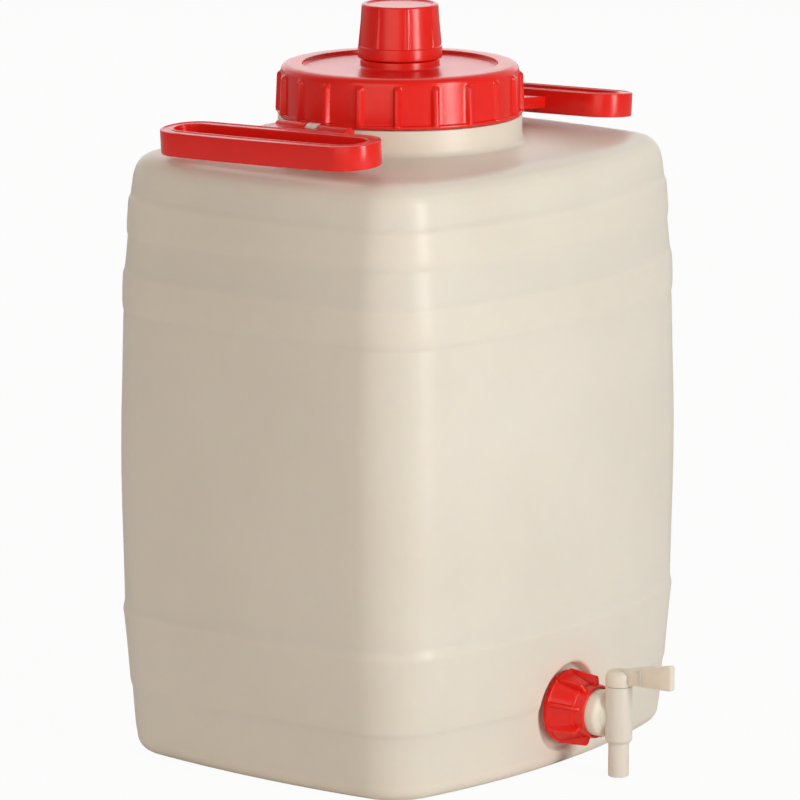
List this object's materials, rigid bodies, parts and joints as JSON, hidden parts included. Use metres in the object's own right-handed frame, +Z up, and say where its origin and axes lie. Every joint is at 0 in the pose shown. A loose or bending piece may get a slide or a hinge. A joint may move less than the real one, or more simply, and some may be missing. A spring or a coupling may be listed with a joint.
{
  "type": "plastic drum with tap",
  "caption": "Upright plastic drum with rounded corners, a wide screw lid with a capped spout, swing handles at its ends and a lever tap low on the front.",
  "frame": {"origin": "centre of the body's base, on the ground", "axes": "+Z up, -Y towards the tap, +X along the wide front to one handle"},
  "size_m": [0.292, 0.327, 0.4357],
  "materials": {
    "body_plastic": "satin natural polyethylene",
    "red_plastic": "moulded satin gloss",
    "pin_plastic": "smooth",
    "tap_plastic": "satin",
    "seal": "soft",
    "rubber_ring": "soft"
  },
  "bodies": {
    "body": {"drum_body": "body_plastic", "hinge_pin_left": "pin_plastic", "hinge_pin_right": "pin_plastic", "tap_gasket": "seal", "tap_body": "tap_plastic"},
    "lid_rise": {"lid_gasket": "seal"},
    "lid": {"screw_lid": "red_plastic"},
    "cap_rise": {"small_cap_seal": "seal"},
    "cap": {"small_cap": "red_plastic"},
    "handle_left": {"handle_left": "red_plastic"},
    "handle_right": {"handle_right": "red_plastic"},
    "nut": {"tap_nut": "red_plastic"},
    "plug": {"tap_plug": "tap_plastic", "plug_ring_upper": "rubber_ring", "plug_ring_lower": "rubber_ring"}
  },
  "joints": [
    {"name": "lid_lift", "type": "slide", "parent": "body", "child": "lid_rise", "axis": [0, 0, 1], "range_m": [0, 0.15]},
    {"name": "lid_turn", "type": "hinge", "parent": "lid_rise", "child": "lid", "pos_m": [0, 0, 0.3721], "axis": [0, 0, 1], "continuous": true},
    {"name": "cap_lift", "type": "slide", "parent": "lid", "child": "cap_rise", "axis": [0, 0, 1], "range_m": [0, 0.06]},
    {"name": "cap_turn", "type": "hinge", "parent": "cap_rise", "child": "cap", "pos_m": [0, 0, 0.4043], "axis": [0, 0, 1], "continuous": true},
    {"name": "handle_left_swing", "type": "hinge", "parent": "body", "child": "handle_left", "pos_m": [-0.079, 0, 0.37], "axis": [0, 1, 0], "range_deg": [0, 90]},
    {"name": "handle_right_swing", "type": "hinge", "parent": "body", "child": "handle_right", "pos_m": [0.079, 0, 0.37], "axis": [0, -1, 0], "range_deg": [0, 90]},
    {"name": "nut_turn", "type": "hinge", "parent": "body", "child": "nut", "pos_m": [0, -0.1214, 0.036], "axis": [0, -1, 0], "continuous": true},
    {"name": "plug_turn", "type": "hinge", "parent": "body", "child": "plug", "pos_m": [0, -0.1602, 0.0543], "axis": [0, 0, 1], "range_deg": [-90, 90]}
  ]
}
